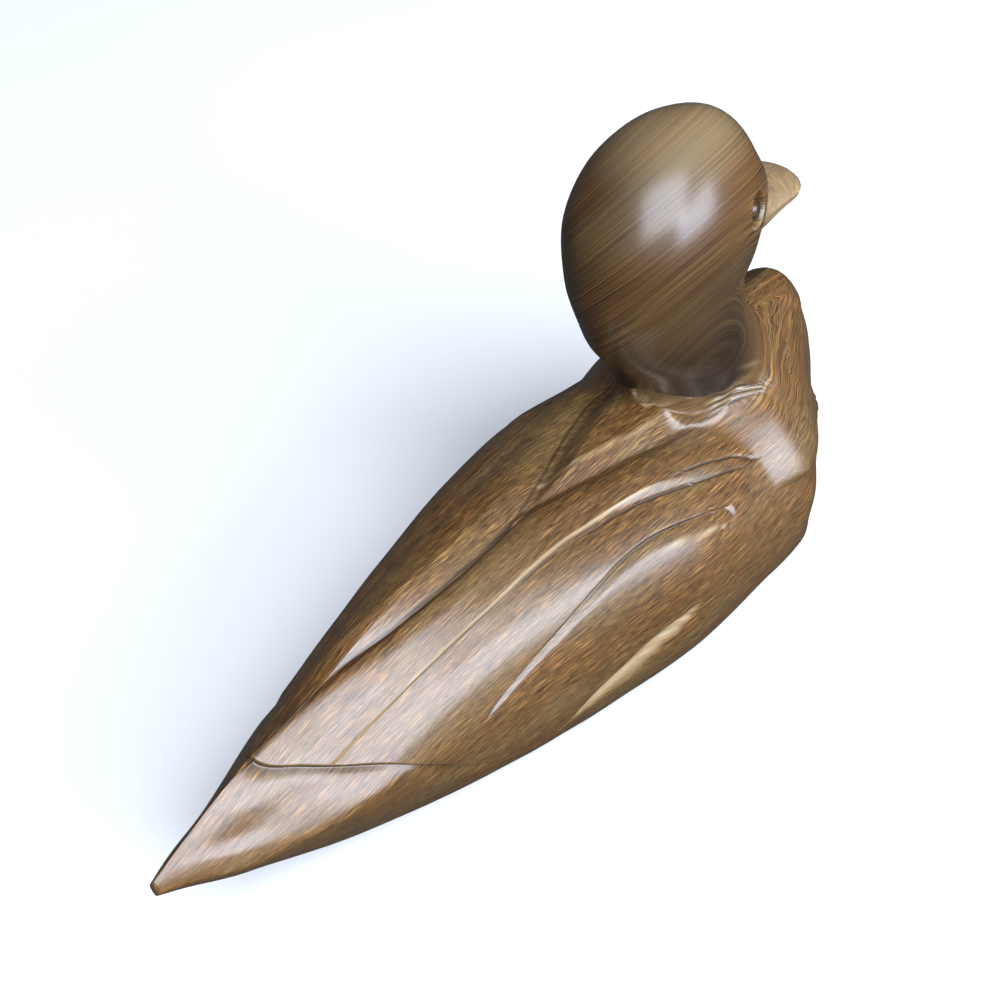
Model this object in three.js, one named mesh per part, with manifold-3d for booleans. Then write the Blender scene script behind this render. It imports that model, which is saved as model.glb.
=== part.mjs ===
// A duck decoy carved from one block of brown hardwood, with folded wings and a raised head.
// It heads towards -Y, its left side is towards +X, and it stands on its flat underside at z = 0.
// Sizes are in millimetres and angles in degrees, unless a name says radians.
import * as THREE from 'three';
import { mergeVertices } from 'three/addons/utils/BufferGeometryUtils.js';
import Module from 'manifold-3d';

// Driving sizes
const LENGTH = 300; // breast to tail tip
const CROWN = 178.5; // height of the crown
const NECK_FILLET = 24; // where the throat and the sides of the neck flow into the breast
const NAPE_FILLET = 2.5; // behind the neck, where a crisp corner is left
const FILLET_SPREAD = { from: -70, to: -98 }; // along Y, from the smaller fillet to the larger
const BILL_FILLET = 3;
const TAIL_TIP = LENGTH / 2;
const BREAST = -LENGTH / 2;

// Sections of the body: place along Y, half width, rise above the widest level, drop below it,
// height of the widest level, and the roundness above and below (2 is an ellipse, more is squarer)
const BODY = [
  [BREAST, 22.5, 57, 46, 56, 2, 2],
  [-136, 24, 55, 43, 50, 2, 2],
  [-121, 33, 47, 45, 45.5, 2, 2.1],
  [-102, 46.5, 39.5, 47.5, 42, 1.9, 2.3],
  [-84, 47, 40.5, 47.8, 39.5, 1.9, 2.2],
  [-50, 47.5, 39.7, 50.8, 41.8, 2.15, 2.35],
  [-10, 42, 39.5, 51, 42.5, 2.15, 2.3],
  [28, 34.5, 39.1, 47.4, 41.4, 1.9, 2.1],
  [65, 27.6, 33.8, 44.7, 42.7, 1.42, 1.6],
  [92, 22.4, 27.9, 34.1, 41.6, 1.15, 1.35],
  [123, 12.1, 20.4, 13.6, 38.6, 1.2, 1.3],
  [143, 4.5, 6.9, 5.6, 42.8, 1.35, 1.4],
  [TAIL_TIP, 1.6, 2.6, 2.4, 43.5, 1.5, 1.6],
];
const BREAST_CAP = { from: -100, to: BREAST, round: 2.6 };

// Level sections of the neck and head: height, front, back, half width and roundness
const HEAD = [
  [55, -134, -58, 34, 2.2],
  [80, -107, -68, 20.5, 2.3],
  [95, -111, -60, 21.5, 2.2],
  [106, -109, -51, 22.3, 2.1],
  [118, -108.5, -45.5, 22.5, 2.05],
  [132, -115.5, -42.5, 25, 2.1],
  [146, -118, -43, 26.5, 2.1],
  [160, -115.5, -46, 26.5, 2.05],
  [CROWN, -117, -51, 26, 2],
];
const CROWN_CAP = { from: 146, to: CROWN, round: 2.05 };
const CHEEK = { taper: 0.14, from: 100, to: 140 }; // narrower towards the bill, above the neck

// Sections of the bill along its axis: distance from its root, half width, rise and drop
const BILL = [
  [-20, 14.5, 9, 9],
  [0, 13.8, 6.6, 6.6],
  [8, 13.2, 4.6, 4.9],
  [17, 13, 3.6, 3.7],
  [25, 12.4, 2.9, 2.9],
];
const BILL_ROOT = { y: -115, z: 132 };
const BILL_CAP = { from: 13, to: 25, round: 2.5 };
const BILL_ROUND = 2.3; // roundness of its sections
const BILL_THINNING = 0.6; // how much its tip thins as it narrows

// The eye is a raised dome that a ring cut leaves standing
const EYE = { y: -93.5, z: 150, ringRadius: 4.3, cutRadius: 1.25 };

// The line that the mantle's point and the stem behind it follow, which wanders to the right of the
// middle of the back: place along Y and angle towards -X
const SPINE_ROUTE = [
  [-74, 0], [-46, 2.2], [-23, 5], [0, 7.4], [32, 9.8], [54, 9.2], [75, 4.5], [92, 2], [109, 1],
];
// Routes of the cuts on each wing: place along Y and angle round the body, from that line for the
// mantle and from the middle of the back for the rest
const MANTLE_ROUTE = [
  [-104, 36], [-97, 34], [-87, 30.5], [-78, 27.5], [-67, 25], [-55, 22.5], [-46, 18.8], [-37, 15.5],
  [-26, 10.5], [-16, 6.5], [-6, 2.5], [4, 0], [112, 0],
];
const FEATHER_ROUTE = [
  [-76, 51], [-65, 47], [-54, 43.5], [-43, 40], [-33, 37], [-24, 35], [-13, 33.5], [-2, 31.5],
  [11, 31], [24, 32], [39, 33.5], [54, 36.5], [71, 40.5], [90, 47],
];
const QUILL_ROUTE = [
  [-58, 61], [-53, 59], [-46, 57], [-39, 55], [-31, 53], [-24, 52.2], [-14, 52.6], [-4, 55],
  [13, 60.5], [31, 69], [50, 85],
];
const SCOOP_ROUTE = [[-42, 90], [-36, 92], [-21, 95], [-9, 101], [4, 110], [16, 126]];
// The line where the wings end above the tail: angle round the body and place along Y
const WING_END = [[0, 109.5], [5, 109], [28, 100], [57, 88], [93, 66], [120, 48], [133, 33], [180, 10]];

// Each cut's depth, how far it reaches to either side, and where along Y it starts, is at its full
// depth, starts to fade and ends
const MANTLE_CUT = {
  depth: 3.6, inner: 8, outer: 9, start: -108, full: -88, fade: 60, end: 110, left: 0.3,
};
const FEATHER_STEP = { depth: 1.6, reach: 7, start: -82, full: -45, fade: 78, end: 94 };
const QUILL_CUT = { depth: 1.6, reach: 3, start: -64, full: -50, fade: 38, end: 50 };
const SCOOP = { depth: 2.6, reach: 10, edge: 3.5, start: -44, full: -24, fade: -10, end: 14 };
const TAIL_STEP = { depth: 1.6, reach: 12, edge: 0.8, fade: 120, end: 150 }; // fades by its angle
// The hollow across each side of the breast, before the wing's rounded front, by angles from the top
const SHOULDER_DIP = { y: -127, depth: 1.4, reach: 11, start: 36, full: 60, fade: 80, end: 110 };

// Rings of points round the form, from the tail tip to the bill tip, and points in half a ring
const TAIL_RINGS = 15;
const WING_RINGS = 25;
const FRONT_RINGS = 43;
const HALF_COLUMNS = 28;
const COLUMNS = 2 * HALF_COLUMNS;
const TIP_GAP = 0.3; // from the tail's tip to the first ring

// The rings lie on upright planes along the body, on planes that fan round behind the nape and on
// level planes up the neck. From there to the bill's tip they bend, so that they meet the face square
const NAPE_PIVOT = { y: -53, z: 93 };
const NECK = { y: -83, low: 93, high: 107 };
const FRONT_SHARES = { level: 0.5, neck: 0.58 }; // shares of the front rings that fan and lie level
// Rings of the face: share of the way to the bill's tip, place of the middle, directions of the top
// and of the underside as angles from +Y towards +Z, and how wide the ring spreads
const FACE_RINGS = [
  [0, NECK.y, NECK.high, 0, 180, 1],
  [0.3, -84, 120, 35, 192, 1],
  [0.55, -90, 130, 90, 212, 1],
  [0.75, -101, 133.5, 138, 222, 1],
  [0.88, -108, 132.5, 162, 202, 0.8],
  [1, -110, 132, 179, 181, 0.03],
];

const radians = THREE.MathUtils.degToRad;
const degrees = THREE.MathUtils.radToDeg;
const clamp = THREE.MathUtils.clamp;
const lerp = THREE.MathUtils.lerp;
const smoothstep = THREE.MathUtils.smoothstep;
const TINY = 1e-9; // keeps roots and divisions away from zero

// A smooth curve through each column of a table, whose first column is the place; it never overshoots
function smoothTable(rows) {
  const slopes = rows.map(() => rows[0].map(() => 0));
  const rise = (i, k) => (rows[i + 1][k] - rows[i][k]) / (rows[i + 1][0] - rows[i][0]);
  rows.forEach((row, i) => {
    for (let k = 1; k < row.length; k += 1) {
      const before = i > 0 ? rise(i - 1, k) : rise(i, k);
      const after = i < rows.length - 1 ? rise(i, k) : before;
      const gapBefore = i > 0 ? row[0] - rows[i - 1][0] : 1;
      const gapAfter = i < rows.length - 1 ? rows[i + 1][0] - row[0] : 1;
      const mean = (before * gapAfter + after * gapBefore) / (gapBefore + gapAfter);
      const limit = 3 * Math.min(Math.abs(before), Math.abs(after));
      slopes[i][k] = before * after <= 0 ? 0 : clamp(mean, -limit, limit);
    }
  });
  return (place) => {
    const x = clamp(place, rows[0][0], rows.at(-1)[0]);
    const next = Math.max(1, rows.findIndex((row) => row[0] >= x));
    const [a, b, ma, mb] = [rows[next - 1], rows[next], slopes[next - 1], slopes[next]];
    const gap = b[0] - a[0];
    const t = (x - a[0]) / gap;
    return a.slice(1).map((value, i) => {
      const k = i + 1;
      const start = (1 + 2 * t) * (1 - t) ** 2 * value + t * (1 - t) ** 2 * gap * ma[k];
      return start + t * t * (3 - 2 * t) * b[k] + t * t * (t - 1) * gap * mb[k];
    });
  };
}

// How far a section has shrunk where a form rounds off to its end
function capFactor(place, cap) {
  const t = clamp((place - cap.from) / (cap.to - cap.from), 0, 1);
  return Math.max(1 - t ** cap.round, TINY) ** (1 / cap.round);
}

const bodyRow = smoothTable(BODY);
const headRow = smoothTable(HEAD);
const billRow = smoothTable(BILL);
const spineRoute = smoothTable(SPINE_ROUTE);
const mantleRoute = smoothTable(MANTLE_ROUTE);
const featherRoute = smoothTable(FEATHER_ROUTE);
const quillRoute = smoothTable(QUILL_ROUTE);
const scoopRoute = smoothTable(SCOOP_ROUTE);
const wingEnd = smoothTable(WING_END);
const faceRing = smoothTable(FACE_RINGS);

// Distance outside (positive) or inside a rounded section with the given half sizes
function sectionDistance(across, up, halfAcross, halfUp, round) {
  const part = Math.abs(across / halfAcross) ** round + Math.abs(up / halfUp) ** round;
  const ratio = (part + TINY) ** (1 / round);
  return Math.hypot(across, up) * (1 - 1 / ratio);
}

// How far a place is past the ends of a table, made steep so that the form closes there
const beyond = (value, low, high) => 3 * Math.max(value - high, low - value, 0);

function bodyDistance(x, y, z) {
  const [width, rise, drop, level, above, below] = bodyRow(y);
  const cap = capFactor(y, BREAST_CAP);
  const up = z - level;
  const halfUp = cap * (up > 0 ? rise : drop);
  return sectionDistance(x, up, width * cap, halfUp, up > 0 ? above : below) + beyond(y, BREAST, TAIL_TIP);
}

function headDistance(x, y, z) {
  const [front, back, width, round] = headRow(z);
  const cap = capFactor(z, CROWN_CAP);
  const along = y - (front + back) / 2;
  const halfLength = cap * (back - front) / 2;
  const taper = 1 + CHEEK.taper * smoothstep(z, CHEEK.from, CHEEK.to) * along / (halfLength + 10);
  return sectionDistance(x, along, width * cap * taper, halfLength, round) + beyond(z, HEAD[0][0], CROWN);
}

function billDistance(x, y, z) {
  const along = BILL_ROOT.y - y;
  const up = z - BILL_ROOT.z;
  const [width, rise, drop] = billRow(along);
  const cap = capFactor(along, BILL_CAP);
  const halfUp = (up > 0 ? rise : drop) * cap ** BILL_THINNING;
  return sectionDistance(x, up, width * cap, halfUp, BILL_ROUND) + beyond(along, BILL[0][0], BILL_CAP.to);
}

function filletedUnion(a, b, fillet) {
  const overlap = Math.max(fillet - Math.abs(a - b), 0) / fillet;
  return Math.min(a, b) - overlap * overlap * fillet / 4;
}

// The smooth form of the whole bird before its feathers are cut
function formDistance(x, y, z) {
  const ahead = smoothstep(-y, -FILLET_SPREAD.from, -FILLET_SPREAD.to);
  const fillet = lerp(NAPE_FILLET, NECK_FILLET, ahead);
  const bird = filletedUnion(headDistance(x, y, z), bodyDistance(x, y, z), fillet);
  return filletedUnion(bird, billDistance(x, y, z), BILL_FILLET);
}

// A ring's frame: its middle, and the directions of its top and underside, all in the YZ plane
const flatFrame = (y, z, upY, upZ) => ({ y, z, upY, upZ, downY: -upY, downZ: -upZ, spread: 1 });
const upright = (y, z) => flatFrame(y, z, 0, 1);

// The frames before the wings' front, for t from 0 behind the nape to 1 at the bill's tip
function frontFrame(t) {
  const { level, neck } = FRONT_SHARES;
  if (t < level) {
    const s = t / level;
    const [upY, upZ] = [Math.sin(s * Math.PI / 2), Math.cos(s * Math.PI / 2)];
    const reach = lerp(NAPE_PIVOT.z - bodyRow(NAPE_PIVOT.y)[3], NAPE_PIVOT.y - NECK.y, s);
    return flatFrame(NAPE_PIVOT.y - upY * reach, NAPE_PIVOT.z - upZ * reach, upY, upZ);
  }
  if (t < neck) return flatFrame(NECK.y, lerp(NECK.low, NECK.high, (t - level) / (neck - level)), 1, 0);
  const [y, z, up, down, spread] = faceRing((t - neck) / (1 - neck));
  const [upY, upZ] = [Math.cos(radians(up)), Math.sin(radians(up))];
  const [downY, downZ] = [Math.cos(radians(down)), Math.sin(radians(down))];
  return { y, z, upY, upZ, downY, downZ, spread };
}

// Where a ray from a frame's middle, at an angle round from its top, leaves the form
function surfacePoint(frame, angle) {
  const [sin, cos] = [Math.sin(radians(angle)), Math.cos(radians(angle))];
  const [top, underside] = [(1 + cos) / 2, (1 - cos) / 2];
  const alongY = top * frame.upY + underside * frame.downY;
  const alongZ = top * frame.upZ + underside * frame.downZ;
  const direction = new THREE.Vector3(-sin * frame.spread, alongY, alongZ).normalize();
  const at = (t) => [direction.x * t, frame.y + direction.y * t, frame.z + direction.z * t];
  let inside = 0;
  let outside = 2;
  while (formDistance(...at(outside)) < 0) {
    inside = outside;
    outside += 2;
  }
  for (let pass = 0; pass < 16; pass += 1) {
    const middle = (inside + outside) / 2;
    if (formDistance(...at(middle)) > 0) outside = middle;
    else inside = middle;
  }
  return at(inside);
}

// Spreads the front frames so that the rings are about evenly spaced over the surface
function spreadFrontFrames() {
  const samples = 160;
  const angles = [0, 45, 90, 135, 180];
  const travelled = [0];
  let before = null;
  for (let i = 0; i <= samples; i += 1) {
    const points = angles.map((angle) => new THREE.Vector3(...surfacePoint(frontFrame(i / samples), angle)));
    if (before) {
      const steps = points.map((point, k) => point.distanceTo(before[k]));
      const mean = steps.reduce((sum, step) => sum + step, 0) / steps.length;
      travelled.push(travelled.at(-1) + Math.max(mean, 0.75 * Math.max(...steps)));
    }
    before = points;
  }
  return Array.from({ length: FRONT_RINGS }, (_, ring) => {
    const goal = travelled.at(-1) * (ring + 1) / FRONT_RINGS;
    const next = clamp(travelled.findIndex((length) => length >= goal), 1, samples);
    const part = (goal - travelled[next - 1]) / (travelled[next] - travelled[next - 1]);
    return frontFrame(Math.min(next - 1 + part, samples - 1) / samples);
  });
}

// Columns of points follow the cuts along the wings and spread evenly elsewhere
const COLUMN_MARKS = [0, 3, 8, 13, 19, HALF_COLUMNS];
const EVEN_MARKS = [0, 14, 42, 70, 98, 180];
const FOLLOW = { until: 60, gone: 120, closest: 4.5 }; // along Y, and the least angle beside the stem

function markAngles(y, side) {
  const onWings = 1 - smoothstep(y, FOLLOW.until, FOLLOW.gone);
  const cuts = [
    0,
    Math.max(mantleRoute(y)[0] + side * spineRoute(y)[0], FOLLOW.closest),
    featherRoute(y)[0],
    quillRoute(y)[0],
    scoopRoute(y)[0],
    180,
  ];
  return cuts.map((angle, i) => lerp(EVEN_MARKS[i], angle, onWings));
}

function columnAngle(column, y, side) {
  const marks = markAngles(y, side);
  const next = Math.max(1, COLUMN_MARKS.findIndex((mark) => mark >= column));
  const part = (column - COLUMN_MARKS[next - 1]) / (COLUMN_MARKS[next] - COLUMN_MARKS[next - 1]);
  return lerp(marks[next - 1], marks[next], part);
}

// Where a column meets the line at which the wings end
function wingEndOf(column, side) {
  let y = 100;
  for (let pass = 0; pass < 40; pass += 1) y = lerp(y, wingEnd(columnAngle(column, y, side))[0], 0.3);
  return y;
}

// Rises from 0 at a cut's start to 1, and falls to 0 again at its end
function extent(place, cut) {
  return smoothstep(place, cut.start, cut.full) * (1 - smoothstep(place, cut.fade, cut.end));
}

// The feathers' cuts: how deep the surface lies below the smooth form at a point
function wingCuts(x, y, z) {
  const level = bodyRow(y)[3];
  const angle = degrees(Math.atan2(Math.abs(x), z - level));
  const radius = Math.hypot(x, z - level);
  const beside = (route) => radius * radians(angle - route(y)[0]);
  const valley = (distance, reach) => Math.max(1 - Math.abs(distance) / reach, 0);

  const fromSpine = Math.abs(degrees(Math.atan2(-x, z - level)) - spineRoute(y)[0]);
  const mantle = radius * radians(fromSpine - mantleRoute(y)[0]);
  const mantleReach = mantle < 0 ? MANTLE_CUT.inner : MANTLE_CUT.outer;
  const fadeToTail = lerp(1, MANTLE_CUT.left, smoothstep(y, MANTLE_CUT.fade, MANTLE_CUT.end));
  const fadeFromNeck = smoothstep(y, MANTLE_CUT.start, MANTLE_CUT.full);
  let depth = MANTLE_CUT.depth * fadeFromNeck * fadeToTail * valley(mantle, mantleReach);

  const feather = beside(featherRoute);
  const below = feather > -TINY ? Math.exp(-feather / FEATHER_STEP.reach) : 0;
  depth += FEATHER_STEP.depth * extent(y, FEATHER_STEP) * below;
  depth += QUILL_CUT.depth * extent(y, QUILL_CUT) * valley(beside(quillRoute), QUILL_CUT.reach);

  const scoop = beside(scoopRoute);
  const scoopReach = SCOOP.reach * extent(y, SCOOP);
  if (scoop > 0 && scoop < scoopReach) {
    depth += SCOOP.depth * Math.min(scoop / SCOOP.edge, 1) * (1 - scoop / scoopReach);
  }
  const ahead = (y - SHOULDER_DIP.y) / SHOULDER_DIP.reach;
  return depth + SHOULDER_DIP.depth * extent(angle, SHOULDER_DIP) * Math.exp(-(ahead ** 2));
}

// The step down from the wings to the tail, which runs out behind and underneath
function tailStep(behind, angle) {
  if (behind <= 0) return 0;
  const wall = Math.min(behind / TAIL_STEP.edge, 1);
  const around = 1 - smoothstep(angle, TAIL_STEP.fade, TAIL_STEP.end);
  return TAIL_STEP.depth * wall * Math.exp(-behind / TAIL_STEP.reach) * around;
}

// Moves a surface point inwards, towards the middle of its section
function cutInto(point, frame, depth) {
  const inwards = new THREE.Vector3(0, frame.y, frame.z).sub(point).normalize();
  return point.clone().addScaledVector(inwards, depth);
}

// One ring of the tail or wings: its points lie on upright planes, further forward at the sides
function bodyRing(ring) {
  return Array.from({ length: COLUMNS }, (_, index) => {
    const side = index <= HALF_COLUMNS ? -1 : 1;
    const column = side < 0 ? index : COLUMNS - index;
    const end = wingEndOf(column, side);
    const onTail = ring < TAIL_RINGS;
    const wingPart = (ring - TAIL_RINGS) / (WING_RINGS - 1);
    const tailPart = (ring / (TAIL_RINGS - 1)) ** 1.2;
    const tailFront = end + TAIL_STEP.edge;
    const y = onTail ? lerp(TAIL_TIP - TIP_GAP, tailFront, tailPart) : lerp(end, NAPE_PIVOT.y, wingPart);
    const frame = upright(y, bodyRow(y)[3]);
    const angle = columnAngle(column, y, side);
    const point = new THREE.Vector3(...surfacePoint(frame, side * angle));
    const cut = onTail ? tailStep(y - end, angle) : wingCuts(...point);
    return cutInto(point, frame, cut);
  });
}

// One ring of the breast, neck, head or bill: the wings' cuts run out on the breast below the neck
function frontRing(frame, ring) {
  const spread = smoothstep(ring, 2, FRONT_RINGS * 0.4);
  return Array.from({ length: COLUMNS }, (_, index) => {
    const side = index <= HALF_COLUMNS ? -1 : 1;
    const column = side < 0 ? index : COLUMNS - index;
    const even = column * 180 / HALF_COLUMNS;
    const angle = side * lerp(columnAngle(column, NAPE_PIVOT.y, side), even, spread);
    const point = new THREE.Vector3(...surfacePoint(frame, angle));
    const offNeck = smoothstep(headDistance(point.x, point.y, point.z), 0, 3);
    return cutInto(point, frame, offNeck * wingCuts(point.x, point.y, point.z));
  });
}

// A quad between two rings, as two triangles that share its shorter diagonal
function quad(points, a, b, c, d) {
  const along = points[a].distanceTo(points[c]) < points[b].distanceTo(points[d]);
  return along ? [a, b, c, a, c, d] : [a, b, d, b, c, d];
}

// The carved form: rings of points from the tail tip to the bill tip, joined into one closed net
function birdGeometry() {
  const bodyRings = Array.from({ length: TAIL_RINGS + WING_RINGS }, (_, ring) => bodyRing(ring));
  const frontRings = spreadFrontFrames().map((frame, ring) => frontRing(frame, ring));
  const rings = [...bodyRings, ...frontRings];
  const tail = new THREE.Vector3(0, TAIL_TIP, bodyRow(TAIL_TIP)[3]);
  const bill = new THREE.Vector3(0, BILL_ROOT.y - BILL_CAP.to, BILL_ROOT.z);
  const points = [...rings.flat(), tail, bill];
  const [tailTip, billTip] = [points.length - 2, points.length - 1];
  const last = (rings.length - 1) * COLUMNS;
  const faces = [];
  for (let column = 0; column < COLUMNS; column += 1) {
    const next = (column + 1) % COLUMNS;
    faces.push(tailTip, column, next, billTip, last + next, last + column);
    for (let start = 0; start < last; start += COLUMNS) {
      const ahead = start + COLUMNS;
      faces.push(...quad(points, start + column, ahead + column, ahead + next, start + next));
    }
  }
  const geometry = new THREE.BufferGeometry().setFromPoints(points);
  geometry.setIndex(faces);
  return geometry;
}

const wasm = await Module();
wasm.setup();

function toSolid(geometry) {
  geometry.deleteAttribute('normal');
  geometry.deleteAttribute('uv');
  const merged = mergeVertices(geometry);
  const vertProperties = new Float32Array(merged.getAttribute('position').array);
  const triVerts = new Uint32Array(merged.index.array);
  return new wasm.Manifold(new wasm.Mesh({ numProp: 3, vertProperties, triVerts }));
}

function toGeometry(solid) {
  const mesh = solid.getMesh();
  const geometry = new THREE.BufferGeometry();
  geometry.setAttribute('position', new THREE.Float32BufferAttribute(mesh.vertProperties, 3));
  geometry.setIndex(new THREE.Uint32BufferAttribute(mesh.triVerts, 1));
  geometry.computeVertexNormals();
  return geometry;
}

// The space below the flat that the bird stands on
function floorBlock() {
  const depth = 60;
  const block = new THREE.BoxGeometry(2 * LENGTH, 2 * LENGTH, depth);
  block.translate(0, 0, -depth / 2);
  return toSolid(block);
}

// The ring cut round an eye, set square to the cheek on the given side
function eyeRing(side) {
  const centre = new THREE.Vector3(...surfacePoint(upright(EYE.y, EYE.z), 90 * side));
  const step = 0.5;
  const slope = (dx, dy, dz) => {
    const ahead = formDistance(centre.x + dx, centre.y + dy, centre.z + dz);
    return ahead - formDistance(centre.x - dx, centre.y - dy, centre.z - dz);
  };
  const outwards = new THREE.Vector3(slope(step, 0, 0), slope(0, step, 0), slope(0, 0, step)).normalize();
  const ring = new THREE.TorusGeometry(EYE.ringRadius, EYE.cutRadius, 8, 24);
  ring.applyQuaternion(new THREE.Quaternion().setFromUnitVectors(new THREE.Vector3(0, 0, 1), outwards));
  ring.translate(centre.x, centre.y, centre.z);
  return toSolid(ring);
}

function duck() {
  const solid = toSolid(birdGeometry()).subtract(floorBlock()).subtract(eyeRing(1)).subtract(eyeRing(-1));
  const wood = new THREE.MeshStandardMaterial({ color: '#7b5a3a', roughness: 0.45, metalness: 0 });
  const mesh = new THREE.Mesh(toGeometry(solid), wood);
  mesh.name = 'duck';
  return mesh;
}

const decoy = new THREE.Group();
decoy.add(duck());
export default decoy;
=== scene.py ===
import math

import bmesh
import bpy
import numpy as np
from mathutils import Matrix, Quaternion, Vector


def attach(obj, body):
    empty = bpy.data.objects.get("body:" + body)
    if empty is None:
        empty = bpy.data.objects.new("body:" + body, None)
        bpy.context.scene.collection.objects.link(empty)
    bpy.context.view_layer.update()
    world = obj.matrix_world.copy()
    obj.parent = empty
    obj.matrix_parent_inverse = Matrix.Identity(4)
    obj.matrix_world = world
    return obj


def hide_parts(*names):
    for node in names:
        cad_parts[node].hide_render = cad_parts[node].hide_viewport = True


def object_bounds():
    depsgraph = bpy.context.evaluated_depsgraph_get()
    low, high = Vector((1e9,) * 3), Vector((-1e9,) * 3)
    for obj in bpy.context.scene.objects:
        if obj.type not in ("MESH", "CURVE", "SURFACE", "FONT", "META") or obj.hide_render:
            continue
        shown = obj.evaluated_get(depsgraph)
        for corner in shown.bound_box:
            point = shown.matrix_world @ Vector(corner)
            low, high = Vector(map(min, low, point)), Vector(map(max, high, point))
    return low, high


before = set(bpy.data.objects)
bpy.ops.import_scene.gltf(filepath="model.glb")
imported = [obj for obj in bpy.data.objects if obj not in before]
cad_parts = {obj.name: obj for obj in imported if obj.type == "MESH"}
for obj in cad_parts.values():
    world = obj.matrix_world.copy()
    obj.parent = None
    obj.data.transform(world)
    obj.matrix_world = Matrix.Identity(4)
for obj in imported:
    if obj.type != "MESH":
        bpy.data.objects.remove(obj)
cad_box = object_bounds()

# A duck decoy carved from one block of oiled walnut. It heads towards -Y, its left side is towards
# +X, and it stands on its flat underside at z = 0. Sizes are in millimetres and angles in degrees,
# until the carved form is handed to Blender in metres.
METRE = 0.001
TINY = 1e-9

# ---------------------------------------------------------------- the duck's own measures

CROWN = 178.5
TAIL_TIP, BREAST = 150, -150

# Sections of the body: place along Y, half width, rise above the widest level, drop below it,
# height of the widest level, and the roundness above and below (2 is an ellipse, more is squarer)
BODY = [
    (BREAST, 22.5, 57, 46, 56, 2, 2),
    (-136, 24, 55, 43, 50, 2, 2),
    (-121, 33, 47, 45, 45.5, 2, 2.1),
    (-102, 46.5, 39.5, 47.5, 42, 1.9, 2.3),
    (-84, 47, 40.5, 47.8, 39.5, 1.9, 2.2),
    (-50, 47.5, 39.7, 50.8, 41.8, 2.15, 2.35),
    (-10, 42, 39.5, 51, 42.5, 2.15, 2.3),
    (28, 34.5, 39.1, 47.4, 41.4, 1.9, 2.1),
    (65, 27.6, 33.8, 44.7, 42.7, 1.42, 1.6),
    (92, 22.4, 27.9, 34.1, 41.6, 1.15, 1.35),
    (123, 12.1, 20.4, 13.6, 38.6, 1.2, 1.3),
    (143, 4.5, 6.9, 5.6, 42.8, 1.35, 1.4),
    (TAIL_TIP, 1.6, 2.6, 2.4, 43.5, 1.5, 1.6),
]
BREAST_CAP = (-100, BREAST, 2.6)  # from, to and roundness of the end

# Level sections of the neck and head: height, front, back, half width and roundness
HEAD = [
    (55, -134, -58, 34, 2.2),
    (80, -107, -68, 20.5, 2.3),
    (95, -111, -60, 21.5, 2.2),
    (106, -109, -51, 22.3, 2.1),
    (118, -108.5, -45.5, 22.5, 2.05),
    (132, -115.5, -42.5, 25, 2.1),
    (146, -118, -43, 26.5, 2.1),
    (160, -115.5, -46, 26.5, 2.05),
    (CROWN, -117, -51, 26, 2),
]
CROWN_CAP = (146, CROWN, 2.05)
CHEEK_TAPER, CHEEK_BAND = 0.14, (100, 140)  # narrower towards the bill, from and to these heights
CHEEK_EASE = 10  # keeps the taper gentle where the section is short

# Sections of the bill along its axis: distance from its root, half width, rise and drop
BILL = [
    (-20, 14.5, 9, 9),
    (0, 13.8, 6.6, 6.6),
    (8, 13.2, 4.6, 4.9),
    (17, 13, 3.6, 3.7),
    (25, 12.4, 2.9, 2.9),
]
BILL_ROOT_Y, BILL_ROOT_Z = -115, 132
MOUTH_Z = BILL_ROOT_Z - 0.4
BILL_CAP = (13, 25, 2.5)
BILL_ROUND, BILL_TIP_ROUND = 2.3, 0.6  # of its sections, and how bluntly its thickness ends

# The neck flows into the breast with a wide fillet and meets the back in a tight one
NECK_FILLET, NAPE_FILLET, BILL_FILLET = 24, 2.5, 3
FILLET_BAND = (70, 98)  # how far ahead the tight fillet ends and the wide one is full

# The wood's grain runs this way through the body, and in rings round this axis on the head
BODY_GRAIN, HEAD_AXIS = (0, -0.96, 0.276), (0.817, 0.091, 0.570)
UNDERSIDE_ROUND = 2.0  # the worn edge round the flat that the bird stands on
FLAT_FADE = 4  # the carving fades out from this height down to the flat

# The eye: its middle, the dome that the ring leaves standing, the lip, and how far it all reaches
EYE_Y, EYE_Z = -93.5, 150
DOME_RADIUS, DOME_HEIGHT, DOME_SUNK = 2.7, 0.5, 0.35
LIP_RADIUS, LIP_WIDTH, LIP_HEIGHT = 6.1, 0.8, 0.35
EYE_REACH = 7.6

# The line that the mantle's point and the stem behind it follow, which wanders to the right of the
# middle of the back: place along Y and angle towards -X
SPINE_ROUTE = [
    (-74, 0), (-46, 2.2), (-23, 5), (0, 7.4), (32, 9.8), (54, 9.2), (75, 4.5), (92, 2), (109, 1),
]
# Routes of the cuts on each wing: place along Y and angle round the body, from that line for the
# mantle and from the middle of the back for the rest
MANTLE_ROUTE = [
    (-104, 36), (-97, 34), (-87, 30.5), (-78, 27.5), (-67, 25), (-55, 22.5), (-46, 18.8),
    (-37, 15.5), (-26, 10.5), (-16, 6.5), (-6, 2.5), (4, 0), (112, 0),
]
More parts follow.
